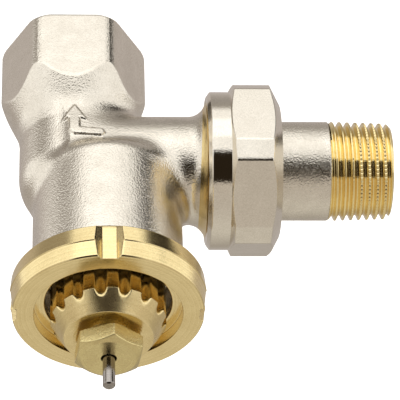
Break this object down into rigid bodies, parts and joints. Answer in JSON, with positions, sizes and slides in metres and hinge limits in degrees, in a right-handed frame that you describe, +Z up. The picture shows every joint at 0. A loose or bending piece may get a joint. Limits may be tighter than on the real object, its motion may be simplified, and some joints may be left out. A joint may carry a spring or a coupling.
{
  "type": "thermostatic radiator valve",
  "caption": "Angle-pattern thermostatic radiator valve body with hexagonal female inlet, notched head collar, fluted bonnet, sprung push pin and union nut with threaded tail.",
  "frame": {"origin": "centre of the inlet's mouth, on the end face of the inlet hexagon", "axes": "+Z up the inlet and along the spindle to the push pin, +X out of the union, so the flow arrow is on the +Y side"},
  "size_m": [0.065, 0.0318, 0.0693],
  "materials": {
    "nickel_plate": "nickel-plated forging, fine blasted satin; bare brass where threads and sealing faces are cut",
    "bare_brass": "turned bright brass",
    "gland_brass": "turned brass, lightly tarnished",
    "stainless": "ground stainless steel",
    "spring_steel": "drawn stainless spring wire",
    "epdm_rubber": "matte black moulded rubber",
    "ptfe": "matte white"
  },
  "bodies": {
    "body": {"valve_body": "nickel_plate", "head_collar": "bare_brass", "bonnet": "bare_brass", "bonnet_o_ring": "epdm_rubber", "spindle_o_ring": "epdm_rubber", "gland_nut": "gland_brass", "gland_o_ring": "epdm_rubber", "gland_bush": "ptfe", "pin_o_rings": "epdm_rubber", "return_spring": "spring_steel"},
    "spindle_train": {"pressure_pin": "stainless", "spindle": "stainless", "spindle_clip": "spring_steel", "spring_seat": "bare_brass", "valve_plug": "bare_brass", "seat_disc": "epdm_rubber", "disc_washer": "stainless", "disc_nut": "stainless"},
    "nut": {"union_nut": "nickel_plate"},
    "tail": {"union_tail": "nickel_plate", "tail_o_ring": "epdm_rubber"}
  },
  "joints": [
    {"name": "spindle_slide", "type": "slide", "parent": "body", "child": "spindle_train", "axis": [0, 0, 1], "range_m": [-0.00215, 0], "stiffness_N_per_m": 1500, "springref_m": 0.008, "deforming": ["return_spring"]},
    {"name": "nut_turn", "type": "hinge", "parent": "body", "child": "nut", "pos_m": [0.0281, 0, 0.0254], "axis": [1, 0, 0], "continuous": true},
    {"name": "tail_turn", "type": "hinge", "parent": "body", "child": "tail", "pos_m": [0.04, 0, 0.0254], "axis": [1, 0, 0], "continuous": true}
  ]
}
